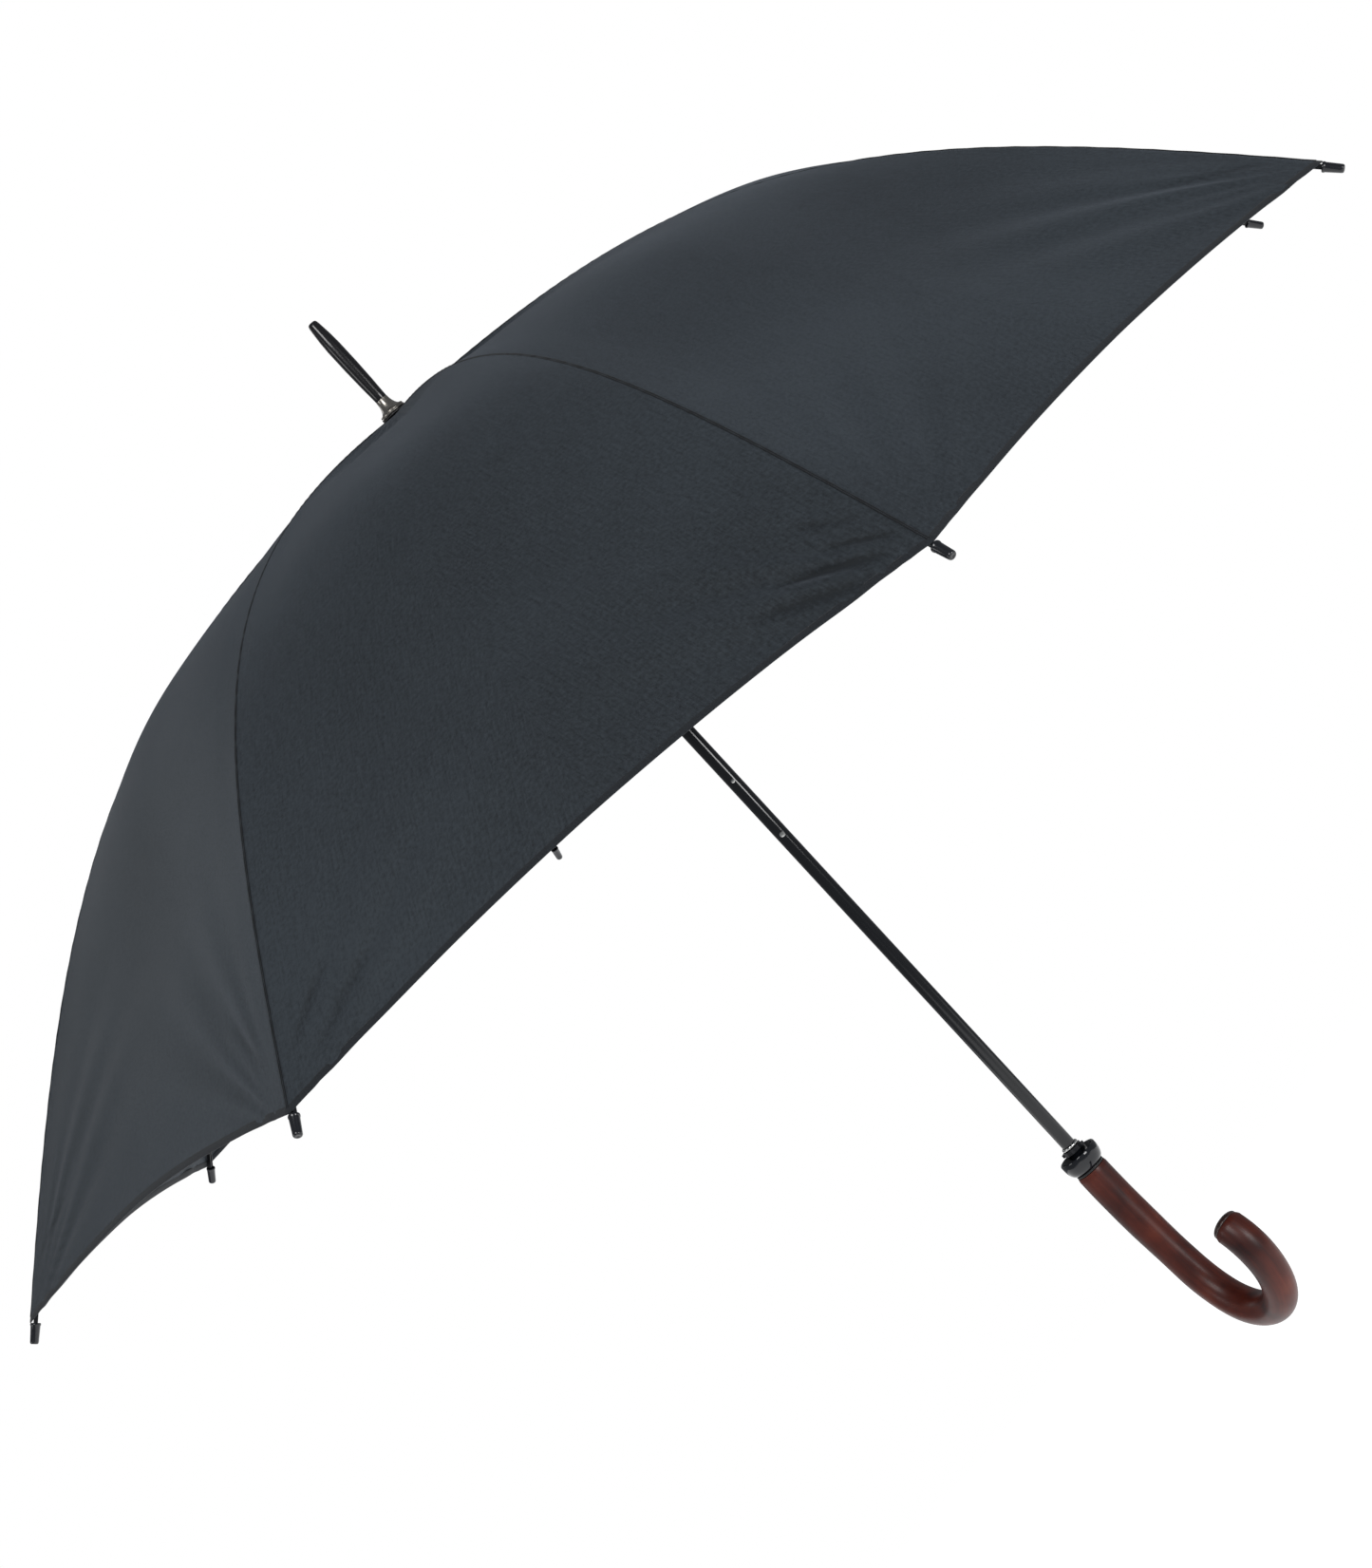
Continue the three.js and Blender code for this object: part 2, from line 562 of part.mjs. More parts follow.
/** One fabric gore between two ribs: a thin closed shell from the crown to the hem. */
function gore(hemRise, firstLift, secondLift) {
  const rows = 14;
  const columns = 6;
  const half = RIB_STEP / 2;
  const inset = GAP / 2;
  const startT = 0.0075;
  const positions = [];
  const triangles = [];
  for (const side of [0.5, -0.5]) {
    for (let i = 0; i <= rows; i++) {
      for (let j = 0; j <= columns; j++) {
        const s = (2 * j) / columns - 1;
        const hem = HEM_T * (1 - hemRise * (1 - Math.abs(s) ** HEM_CURVE));
        const v = i / rows;
        const t = startT + (hem - startT) * v;
        const lift = (firstLift * (1 - s) + secondLift * (1 + s)) / 2;
        const p = fabricLine(t, lift);
        const across = s * (p.x * Math.sin(half) - inset);
        const out = point(p.x * Math.cos(half), p.y);
        out.addScaledVector(fabricNormal(t, lift), side * FABRIC + billow(v) * (1 - s * s));
        positions.push(out.x, across, out.y);
      }
    }
  }
  const sheet = (rows + 1) * (columns + 1);
  const at = (i, j) => i * (columns + 1) + j;
  for (let i = 0; i < rows; i++) {
    for (let j = 0; j < columns; j++) {
      const [a, b, c, d] = [at(i, j), at(i + 1, j), at(i + 1, j + 1), at(i, j + 1)];
      triangles.push(a, b, c, a, c, d);
      triangles.push(sheet + a, sheet + c, sheet + b, sheet + a, sheet + d, sheet + c);
    }
  }
  const rim = [];
  for (let j = 0; j < columns; j++) rim.push(at(0, j));
  for (let i = 0; i < rows; i++) rim.push(at(i, columns));
  for (let j = columns; j > 0; j--) rim.push(at(rows, j));
  for (let i = rows; i > 0; i--) rim.push(at(i, 0));
  rim.forEach((a, i) => {
    const b = rim[(i + 1) % rim.length];
    triangles.push(a, b, sheet + b, a, sheet + b, sheet + a);
  });
  const shape = new THREE.BufferGeometry();
  shape.setAttribute('position', new THREE.BufferAttribute(new Float32Array(positions), 3));
  shape.setIndex(triangles);
  return toBody(shape);
}

// ---------- the whole umbrella ----------
shaft();
ferrule();
ferruleCup();
rosetteWasher();
crownNotch();
wireRing('crown_wire', CROWN_PIVOT_Z);
runner();
topCatch();
RIVETS.forEach((rivet) => shaftRivet(...rivet));
shaftFoot();
handleCollar();
neckBand();
handleCrook();

const steel = material(0x1a1b1e, 0.35, 0.85);
const cloth = material(0x2d3238, 0.85, 0);
const capLook = material(0x0c0d10, 0.25, 0.6);
const inner = innerRib();
const link = stretcher();
for (let i = 0; i < RIB_COUNT; i++) {
  const turn = FIRST_RIB + i * RIB_STEP;
  const lift = RIB_LIFT[i];
  const nextLift = RIB_LIFT[(i + 1) % RIB_COUNT];
  add(`rib_inner_${i + 1}`, inner, steel, turn);
  add(`rib_outer_${i + 1}`, outerRib(lift), steel, turn);
  add(`stretcher_${i + 1}`, link, steel, turn);
  add(`rib_tip_${i + 1}`, toBody(tipCap(lift)), capLook, turn);
  add(`canopy_panel_${i + 1}`, gore(HEM_RISE[i], lift, nextLift), cloth, turn + RIB_STEP / 2);
}

export default pieces;
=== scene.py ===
import json
import math
import random

import bpy
import bmesh
import numpy as np
from mathutils import Matrix, Vector


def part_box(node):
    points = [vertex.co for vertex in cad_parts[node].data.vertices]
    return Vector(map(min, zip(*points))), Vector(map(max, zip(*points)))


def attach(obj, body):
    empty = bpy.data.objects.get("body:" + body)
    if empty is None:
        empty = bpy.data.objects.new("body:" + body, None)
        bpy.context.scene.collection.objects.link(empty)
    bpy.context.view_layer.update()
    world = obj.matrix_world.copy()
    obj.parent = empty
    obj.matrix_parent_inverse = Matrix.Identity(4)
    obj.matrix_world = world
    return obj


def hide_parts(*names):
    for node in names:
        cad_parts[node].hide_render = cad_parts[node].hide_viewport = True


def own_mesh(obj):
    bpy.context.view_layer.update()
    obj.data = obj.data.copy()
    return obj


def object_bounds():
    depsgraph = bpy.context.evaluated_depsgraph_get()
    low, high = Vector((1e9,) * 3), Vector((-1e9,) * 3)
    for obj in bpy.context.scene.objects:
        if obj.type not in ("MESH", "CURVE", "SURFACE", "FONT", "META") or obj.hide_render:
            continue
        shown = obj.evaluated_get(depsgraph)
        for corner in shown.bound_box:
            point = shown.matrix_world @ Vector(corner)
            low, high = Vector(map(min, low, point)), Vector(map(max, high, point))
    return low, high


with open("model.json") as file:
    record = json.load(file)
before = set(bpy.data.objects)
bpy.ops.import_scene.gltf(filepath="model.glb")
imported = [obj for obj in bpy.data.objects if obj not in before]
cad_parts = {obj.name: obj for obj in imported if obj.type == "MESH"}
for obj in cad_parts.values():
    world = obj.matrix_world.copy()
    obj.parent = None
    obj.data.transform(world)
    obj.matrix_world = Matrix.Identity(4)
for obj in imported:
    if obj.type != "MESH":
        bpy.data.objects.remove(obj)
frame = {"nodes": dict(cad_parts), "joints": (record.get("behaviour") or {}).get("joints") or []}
cad_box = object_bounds()
joints = {j["name"]: j for j in frame["joints"]}


# ---- Studio: camera, lights, backdrop ----
# A plain pale room. The umbrella is held up by its grip, tipped in the picture by rolling the camera,
# so the floor lies far below the crook and takes no hard shadow.
camera = bpy.data.objects.new("camera", bpy.data.cameras.new("camera"))
bpy.context.collection.objects.link(camera)
camera.location = (1.7709, -0.8213, 0.4430)
look = Vector((-0.90363, 0.42683, -0.03549)).normalized()
camera.rotation_mode = "QUATERNION"
camera_roll = math.radians(-42.67)
aimed = look.to_track_quat("-Z", "Y").to_matrix()
camera.rotation_quaternion = (aimed @ Matrix.Rotation(camera_roll, 3, "Z")).to_quaternion()
camera.data.sensor_width = 36
camera.data.lens = 69.34
camera.data.shift_x = -0.0374
camera.data.shift_y = -0.0141
camera.data.clip_start = 0.01
bpy.context.scene.camera = camera
bpy.context.scene.view_settings.view_transform = "Standard"

world = bpy.data.worlds.new("studio")
bpy.context.scene.world = world
world.use_nodes = True
room = world.node_tree
room.nodes.clear()
room_out = room.nodes.new("ShaderNodeOutputWorld")
seen = room.nodes.new("ShaderNodeBackground")
seen.inputs["Color"].default_value = (1, 1, 1, 1)
seen.inputs["Strength"].default_value = 1.0
lit = room.nodes.new("ShaderNodeBackground")
lit.inputs["Color"].default_value = (0.93, 0.96, 1.0, 1)
lit.inputs["Strength"].default_value = 0.22
ray = room.nodes.new("ShaderNodeLightPath")
pick = room.nodes.new("ShaderNodeMixShader")
room.links.new(ray.outputs["Is Camera Ray"], pick.inputs["Fac"])
room.links.new(lit.outputs[0], pick.inputs[1])
room.links.new(seen.outputs[0], pick.inputs[2])
room.links.new(pick.outputs[0], room_out.inputs["Surface"])


def softbox(name, place, aim, size, power):
    """A square soft light that faces a point."""
    lamp = bpy.data.objects.new(name, bpy.data.lights.new(name, "AREA"))
    bpy.context.collection.objects.link(lamp)
    lamp.location = place
    lamp.rotation_mode = "QUATERNION"
    lamp.rotation_quaternion = (Vector(aim) - Vector(place)).to_track_quat("-Z", "Y")
    lamp.data.size = size
    lamp.data.energy = power
    return lamp


softbox("key_light", (1.7, -1.3, 1.7), (0, 0, 0.5), 0.9, 24)
softbox("right_light", (2.0, 0.35, 0.5), (0, 0, 0.2), 0.6, 13)
softbox("left_light", (-0.2, -2.1, 0.9), (0, 0, 0.4), 0.7, 4)
softbox("back_light", (-1.8, -0.6, 1.6), (0, 0, 0.5), 0.8, 3)

floor_mesh = bpy.data.meshes.new("floor")
floor_mesh.from_pydata([(-9, -9, 0), (9, -9, 0), (9, 9, 0), (-9, 9, 0)], [], [(0, 1, 2, 3)])
floor = bpy.data.objects.new("floor", floor_mesh)
bpy.context.collection.objects.link(floor)
floor.location.z = cad_box[0][2] - 2.4
paper = bpy.data.materials.new("white_paper")
paper.use_nodes = True
paper_face = paper.node_tree.nodes["Principled BSDF"]
paper_face.inputs["Base Color"].default_value = (0.9, 0.9, 0.9, 1)
paper_face.inputs["Roughness"].default_value = 1.0
paper_face.inputs["Specular IOR Level"].default_value = 0.0
paper_face.inputs["Emission Color"].default_value = (1, 1, 1, 1)
paper_face.inputs["Emission Strength"].default_value = 0.95
floor_mesh.materials.append(paper)


# ---- Shaft ----
# A lacquered steel tube from the handle to the crown, drawn to 9.6 mm across. It is drawn whole here,
# without the catch's slot, so the catch stands out through its wall. Two rivets hold the catch's spring.
class Finish:
    """A node material with a short way to add and join nodes."""

    def __init__(self, name, **sockets):
        self.material = bpy.data.materials.new(name)
        self.material.use_nodes = True
        self.tree = self.material.node_tree
        self.face = self.tree.nodes["Principled BSDF"]
        for socket, value in sockets.items():
            self.face.inputs[socket.replace("_", " ")].default_value = value

    def node(self, kind, **values):
        made = self.tree.nodes.new("ShaderNode" + kind)
        for key, value in values.items():
            spot = key.replace("_", " ")
            if spot in made.inputs:
                made.inputs[spot].default_value = value
            else:
                setattr(made, key, value)
        return made

    def join(self, start, end):
        self.tree.links.new(start, end)

    def place(self, kind="Object", scale=(1, 1, 1)):
        """Texture place in metres, stretched by scale."""
        spot = self.node("TexCoord")
        sized = self.node("Mapping")
        sized.inputs["Scale"].default_value = scale
        self.join(spot.outputs[kind], sized.inputs["Vector"])
        return sized.outputs[0]

    def noise(self, where, scale, detail=4.0, rough=0.5):
        made = self.node("TexNoise", Scale=scale, Detail=detail, Roughness=rough)
        self.join(where, made.inputs["Vector"])
        return made.outputs["Fac"]

    def ramp(self, source, stops):
        made = self.node("ValToRGB")
        marks = made.color_ramp.elements
        while len(marks) < len(stops):
            marks.new(0.5)
        for mark, (spot, colour) in zip(marks, stops):
            mark.position = spot
            mark.color = (*colour, 1)
        self.join(source, made.inputs["Fac"])
        return made.outputs["Color"]

    def span(self, source, low, high):
        """Stretches 0 to 1 over low to high."""
        made = self.node("MapRange")
        made.inputs["To Min"].default_value = low
        made.inputs["To Max"].default_value = high
        self.join(source, made.inputs["Value"])
        return made.outputs[0]

    def math(self, kind, a, b):
        made = self.node("Math", operation=kind)
        for spot, value in zip(made.inputs, (a, b)):
            if isinstance(value, (int, float)):
                spot.default_value = value
            else:
                self.join(value, spot)
        return made.outputs[0]

    def bump(self, height, strength, distance, below=None):
        made = self.node("Bump", Strength=strength, Distance=distance)
        self.join(height, made.inputs["Height"])
        if below:
            self.join(below, made.inputs["Normal"])
        self.join(made.outputs[0], self.face.inputs["Normal"])
        return made.outputs[0]


def lacquer(name, colour, gloss=0.16, metal=0.0, grain=(1, 1, 1)):
    """Gloss coat with small changes of tone and gloss and a faint ripple."""
    f = Finish(name, Metallic=metal, Coat_Weight=0.35, Coat_Roughness=0.1, Specular_IOR_Level=0.35)
    where = f.place("Object", grain)
    cloud = f.noise(where, 60, 6)
    f.join(f.ramp(cloud, [(0.3, [c * 0.8 for c in colour]), (0.75, [c * 1.3 for c in colour])]),
           f.face.inputs["Base Color"])
    f.join(f.span(f.noise(where, 90, 2), gloss * 0.8, gloss * 1.3), f.face.inputs["Roughness"])
    f.bump(f.noise(where, 150, 1), 0.04, 0.0002)
    return f.material


def bare_metal(name, colour, rough=0.25, lines=(40, 40, 900)):
    """Bright or plated metal with fine turned or drawn lines."""
    f = Finish(name, Metallic=1.0)
    where = f.place("Object", lines)
    cloud = f.noise(f.place("Object"), 140, 5)
    f.join(f.ramp(cloud, [(0.3, [c * 0.75 for c in colour]), (0.7, colour)]), f.face.inputs["Base Color"])
    f.join(f.span(f.noise(where, 3, 2), rough * 0.8, rough * 1.25), f.face.inputs["Roughness"])
    f.bump(f.noise(where, 4, 1), 0.03, 0.0002)
    return f.material


def dress(obj, material, body, replaced=(), crease=32):
    """Finishes a piece: smooth faces, its material, its body and the CAD nodes it stands for."""
    if obj.type == "MESH":
        obj.data.polygons.foreach_set("use_smooth", [True] * len(obj.data.polygons))
        obj.data.set_sharp_from_angle(angle=math.radians(crease))
    obj.data.materials.clear()
    obj.data.materials.append(material)
    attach(obj, body)
    if replaced:
        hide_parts(*replaced)
    return obj


def solid(name, points, faces):
    """A mesh object from points and faces, with its faces turned outwards."""
    mesh = bpy.data.meshes.new(name)
    mesh.from_pydata([tuple(p) for p in points], [], faces)
    work = bmesh.new()
    work.from_mesh(mesh)
    bmesh.ops.remove_doubles(work, verts=work.verts, dist=1e-7)
    bmesh.ops.recalc_face_normals(work, faces=work.faces)
    work.to_mesh(mesh)
    work.free()
    obj = bpy.data.objects.new(name, mesh)
    bpy.context.collection.objects.link(obj)
    return obj


def turned(name, outline, around=72):
    """A turned piece: the outline of (radius, height) closes on itself and spins about Z."""
    points, faces = [], []
    n = len(outline)
    for i in range(around):
        a = 2 * math.pi * i / around
        points += [(r * math.cos(a), r * math.sin(a), z) for r, z in outline]
    for i in range(around):
        for j in range(n):
            a, b = i * n + j, i * n + (j + 1) % n
            c, d = ((i + 1) % around) * n + (j + 1) % n, ((i + 1) % around) * n + j
            faces.append((a, b, c, d))
    work = solid(name, points, faces)
    tidy = bmesh.new()
    tidy.from_mesh(work.data)
    bmesh.ops.dissolve_degenerate(tidy, edges=tidy.edges, dist=1e-7)
    tidy.to_mesh(work.data)
    tidy.free()
    return work


def eased(outline, cut=0.0003, steps=3):
    """Rounds every corner of a closed outline by a small curve."""
    out = []
    for i, (r, z) in enumerate(outline):
        p = Vector((r, z))
        before = Vector(outline[i - 1]) - p
        after = Vector(outline[(i + 1) % len(outline)]) - p
        if r < 1e-9 or before.length < 1e-9 or after.length < 1e-9:
            out.append((r, z))
            continue
        a = p + before.normalized() * min(cut, before.length * 0.45)
        b = p + after.normalized() * min(cut, after.length * 0.45)
        for k in range(steps + 1):
            s = k / steps
            q = a * (1 - s) ** 2 + p * 2 * s * (1 - s) + b * s * s
            out.append((q.x, q.y))
    return out


shaft_low, shaft_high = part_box("shaft_tube")
shaft_r = 0.0048
shaft_black = lacquer("shaft_lacquer", (0.006, 0.007, 0.009), 0.14, 0.0, (1, 1, 0.25))
shaft = turned("shaft", eased([
    (0.0040, shaft_low.z), (shaft_r, shaft_low.z), (shaft_r, shaft_high.z), (0.0040, shaft_high.z),
]))
dress(shaft, shaft_black, "shaft_and_handle", ["shaft_tube"])

catch_turn = math.radians(-27)
bright = bare_metal("bright_nickel", (0.78, 0.78, 0.76), 0.2, (300, 300, 300))
for node in ("slot_rivet_upper", "slot_rivet_lower"):
    low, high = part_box(node)
    size = (high.z - low.z) / 2
    rivet = turned(node + "_head", [
        (0, 0), (size, 0), (size, 0.0001), (size * 0.7, 0.0002), (0, 0.00025),
    ], 32)
    rivet.matrix_world = Matrix.Translation((
        (shaft_r - 0.0001) * math.cos(catch_turn),
        (shaft_r - 0.0001) * math.sin(catch_turn),
        (low.z + high.z) / 2,
    )) @ Matrix.Rotation(catch_turn, 4, "Z") @ Matrix.Rotation(math.pi / 2, 4, "Y")
    dress(rivet, bright, "shaft_and_handle", [node])


# ---- Ribs, tips and stretchers ----
# Eight spring steel channels, black enamelled, hinged on a wire round the crown, each with a
# stamped bracket where its stretcher is riveted and a domed cap on its outer end.
rib_count = 8
rib_step = 2 * math.pi / rib_count
pivot = Vector(joints["rib_1_fold"]["pos_m"])
first_rib = math.atan2(pivot.y, pivot.x)
steel = lacquer("rib_enamel", (0.016, 0.017, 0.02), 0.3, 0.5, (1, 1, 1))
for k in range(1, rib_count + 1):
    for node in (f"rib_inner_{k}", f"rib_outer_{k}", f"stretcher_{k}"):
        frame["nodes"][node].data.materials.clear()
        frame["nodes"][node].data.materials.append(steel)

crown_z = pivot.z + 0.009
line_start = Vector((0, -0.0003))
line_rise = Vector((0.2839, -0.0192))
line_bend = Vector((0.3665, -0.0839))
line_end = Vector((0.5534, -0.2893))
rib_lift = [0.001, 0.0035, 0.002, 0.0025, 0.0035, 0.006, 0.015, 0.008]


def fabric_line(t, lift=0.0):
    """Reach and height of the cloth over a rib, t from 0 at the crown to 1 at the tip."""
    s = 1 - t
    p = line_start * s ** 3 + line_rise * (3 * s * s * t) + line_bend * (3 * s * t * t) + line_end * t ** 3
    return Vector((p.x, p.y + crown_z + lift * max(0, (t - 0.55) / 0.45) ** 2))


def fabric_normal(t, lift=0.0):
    along = fabric_line(t + 1e-4, lift) - fabric_line(t - 1e-4, lift)
    return Vector((-along.y, along.x)).normalized()


def rib_place(turn, reach, aside, height):
    """Point at a reach along a rib's direction, to one side of it, and at a height."""
    c, s = math.cos(turn), math.sin(turn)
    return (reach * c - aside * s, reach * s + aside * c, height)


tip_black = lacquer("tip_enamel", (0.008, 0.009, 0.012), 0.2, 0.0)
hem_t = 0.9885
cap_t = 0.989
rib_drop = 0.0029
length = 0.0124
for k in range(1, rib_count + 1):
    turn = first_rib + (k - 1) * rib_step
    lift = rib_lift[k - 1]
    a = fabric_line(cap_t, lift) - fabric_normal(cap_t, lift) * rib_drop
    b = fabric_line(1, lift) - fabric_normal(1, lift) * rib_drop
    along = Vector(rib_place(turn, b.x - a.x, 0, b.y - a.y)).normalized()
    profile = [(0.0022, 0), (0.0028, 0), (0.0031, 0.0002), (0.0032, 0.0006), (0.0032, 0.0012)]
    profile += [(0.0030, 0.0016), (0.0029, 0.0019), (0.0026, length - 0.0016)]
    profile += [(0.00255, length - 0.0009), (0.0023, length - 0.0003)]
    profile += [(0.0019, length), (0.0009, length), (0.0007, length - 0.0002), (0, length - 0.0003)]
    cap = turned(f"rib_tip_cap_{k}", profile + [(0, length - 0.004), (0.0022, length - 0.004)], 40)
    pointing = along.to_track_quat("Z", "Y").to_matrix().to_4x4()
    cap.matrix_world = Matrix.Translation(rib_place(turn, a.x, 0, a.y)) @ pointing
    dress(cap, tip_black, f"rib_end_{k}", [f"rib_tip_{k}"], 50)


# ---- Crown, runner and catch ----
# Black moulded nylon rings with eight slots, wired to the ribs and stretchers, and a long sleeve
# that slides on the shaft; the catch is a tooth of bright spring steel.
def moulded(name, colour):
    """Satin moulded nylon with a fine spark-eroded grain."""
    f = Finish(name, IOR=1.5)
    where = f.place("Object")
    shades = [(0.3, [c * 0.8 for c in colour]), (0.7, [c * 1.3 for c in colour])]
    f.join(f.ramp(f.noise(where, 90, 4), shades), f.face.inputs["Base Color"])
    f.join(f.span(f.noise(where, 700, 3), 0.32, 0.5), f.face.inputs["Roughness"])
    f.bump(f.noise(where, 1800, 2), 0.15, 0.0002)
    return f.material


nylon = moulded("black_nylon", (0.018, 0.018, 0.02))
wire = bare_metal("spring_wire", (0.52, 0.52, 0.5), 0.3, (200, 200, 200))
for node, look_of in (("crown_notch", nylon), ("runner_sleeve", nylon), ("crown_wire", wire),
                      ("runner_wire", wire), ("top_catch", wire)):
    frame["nodes"][node].data.materials.clear()
    frame["nodes"][node].data.materials.append(look_of)


# ---- Canopy ----
# Eight gores of close-woven cloth, cut as curved triangles and sewn to each other along the ribs,
# stretched from the crown to the tips. Each is held only at its ribs, so it dips a little between
# them and pulls small folds into its corners. The cloth is split over the ribs' joints and in the
# middle of each gore, and across into seven lengths, so that it can gather round the shaft.
hem_rise = [0.016, 0.016, 0.016, 0.016, 0.016, 0.018, 0.024, 0.0195]
start_t = 0.0075
split_t = 0.4120
cloth_thick = 0.00035
rib_length = 0.645
half_gore = rib_step / 2
chance = random.Random(7)
folds = [
    {
        "side": [chance.uniform(0, 6.28) for _ in range(6)],
        "size": [chance.uniform(0.5, 1.0) for _ in range(6)],
    }
    for _ in range(rib_count)
]


def cloth_lift(gore, s, v, width):
    """Height of the small folds over the smooth cloth, in metres."""
    f = folds[gore]
    back = (1 - v) * rib_length
    lift = 0.0
    for end, inward in ((0, (1 + s) * width), (1, (1 - s) * width)):
        angle = math.atan2(inward, back + 0.01)
        far = math.hypot(inward, back)
        fan = math.sin(angle * 17 + f["side"][end]) * math.exp(-((far - 0.11) / 0.06) ** 2) * 0.0016
        fan += math.sin(angle * 27 + f["side"][2 + end]) * math.exp(-((far - 0.06) / 0.035) ** 2) * 0.0009
        lift += fan * min(1, inward / 0.02) * f["size"][end] * math.exp(-((angle - 0.9) / 0.55) ** 2)
    aside = 1 - abs(s)
    gather = math.sin(s * 23 + f["side"][4]) * math.exp(-((v - 0.07) / 0.035) ** 2)
    lift += gather * 0.0005 * min(1, aside / 0.15)
    lift += math.sin(s * 5 + f["side"][5]) * math.sin(math.pi * v) * 0.0008 * min(1, aside / 0.2)
    near = aside * width
    pucker = math.sin(v * rib_length / 0.009 * 2 * math.pi) * math.exp(-near / 0.004)
    lift += 0.00010 * pucker * min(1, v / 0.1)
    return lift


def cloth_point(gore, s, v):
    """Point on the top of a gore, s from -1 on its first rib to 1 on its second, v from crown to hem."""
    hem = hem_t * (1 - hem_rise[gore] * (1 - abs(s) ** 1.75))
    t = start_t + (hem - start_t) * v
    raised = (rib_lift[gore] * (1 - s) + rib_lift[(gore + 1) % rib_count] * (1 + s)) / 2
    n = fabric_normal(t, raised)
    p = fabric_line(t, raised) + n * 0.0004
    middle = first_rib + gore * rib_step + half_gore
    width = p.x * math.sin(half_gore)
    reach = p.x * math.cos(half_gore)
    billow = -0.0086 * math.exp(-((v - 0.12) / 0.09) ** 2) + 0.0095 * math.exp(-((v - 0.47) / 0.13) ** 2)
    billow -= 0.0045 * math.exp(-((v - 0.76) / 0.10) ** 2)
    lift = cloth_lift(gore, s, v, width) + billow * (1 - s * s) * min(1, v / 0.05)
    return Vector(rib_place(middle, reach + n.x * lift, s * width, p.y + n.y * lift))


def cloth_point_by_rib(k, u, v):
    """The same cloth counted from rib k: u from -1 in the middle of one gore to 1 in the next."""
    if u >= 0:
        return cloth_point((k - 1) % rib_count, u - 1, v)
    return cloth_point((k - 2) % rib_count, u + 1, v)


# Small creases pulled into the cloth beside a tip: where each starts and ends, as distances out from the
# rib and back from the tip, then its half width and its depth, which sets both the bump and the painted
# shade darkening the crease.
tip_creases = {
    1: [((-0.004, 0.013), (-0.032, 0.034), 0.0024, 0.8), ((-0.014, 0.007), (-0.062, 0.034), 0.0030, 1.0),
        ((-0.028, 0.000), (-0.084, 0.026), 0.0042, 0.7), ((-0.008, 0.033), (-0.032, 0.056), 0.0030, 0.4)],
    2: [((-0.008, 0.020), (-0.050, 0.060), 0.0040, 0.35), ((0.010, 0.018), (0.052, 0.058), 0.0040, 0.3)],
    8: [((0.008, 0.022), (0.040, 0.052), 0.0034, 0.5), ((0.020, 0.010), (0.070, 0.038), 0.0040, 0.45),
        ((-0.010, 0.020), (-0.048, 0.056), 0.0036, 0.35)],
}
for k in (3, 4, 5, 6, 7):
    tip_creases[k] = [
        ((side * chance.uniform(0.006, 0.02), chance.uniform(0.01, 0.03)),
         (side * chance.uniform(0.045, 0.07), chance.uniform(0.04, 0.06)),
         0.0038, chance.uniform(0.25, 0.45))
        for side in (-1, 1)
    ]


def crease_shade(f, creases):
    """Adds up soft narrow valleys between pairs of points on the cloth's own measure, used for the
    creases' bump and for their painted shade.
    """
    spot = f.node("TexCoord").outputs["UV"]
    total = 0.0
    for (x0, back0), (x1, back1), half_width, depth in creases:
        start = Vector((x0, rib_length - back0, 0))
        run = Vector((x1, rib_length - back1, 0)) - start
        length = run.length
        from_start = f.node("VectorMath", operation="SUBTRACT")
        from_start.inputs[1].default_value = start
        f.join(spot, from_start.inputs[0])
        along = f.node("VectorMath", operation="DOT_PRODUCT")
        along.inputs[1].default_value = run / length ** 2
        f.join(from_start.outputs["Vector"], along.inputs[0])
        across = f.node("VectorMath", operation="DOT_PRODUCT")
        across.inputs[1].default_value = Vector((-run.y, run.x, 0)) / (length * half_width)
        f.join(from_start.outputs["Vector"], across.inputs[0])
        aside = f.math("MULTIPLY", across.outputs["Value"], across.outputs["Value"])
        narrow = f.math("POWER", math.e, f.math("MULTIPLY", aside, -1.0))
        taper = f.math("MULTIPLY", along.outputs["Value"], f.math("SUBTRACT", 1.0, along.outputs["Value"]))
        taper = f.math("MULTIPLY", f.math("MAXIMUM", taper, 0.0), 4.0 * depth)
        total = f.math("ADD", total, f.math("MULTIPLY", narrow, taper))
    return total


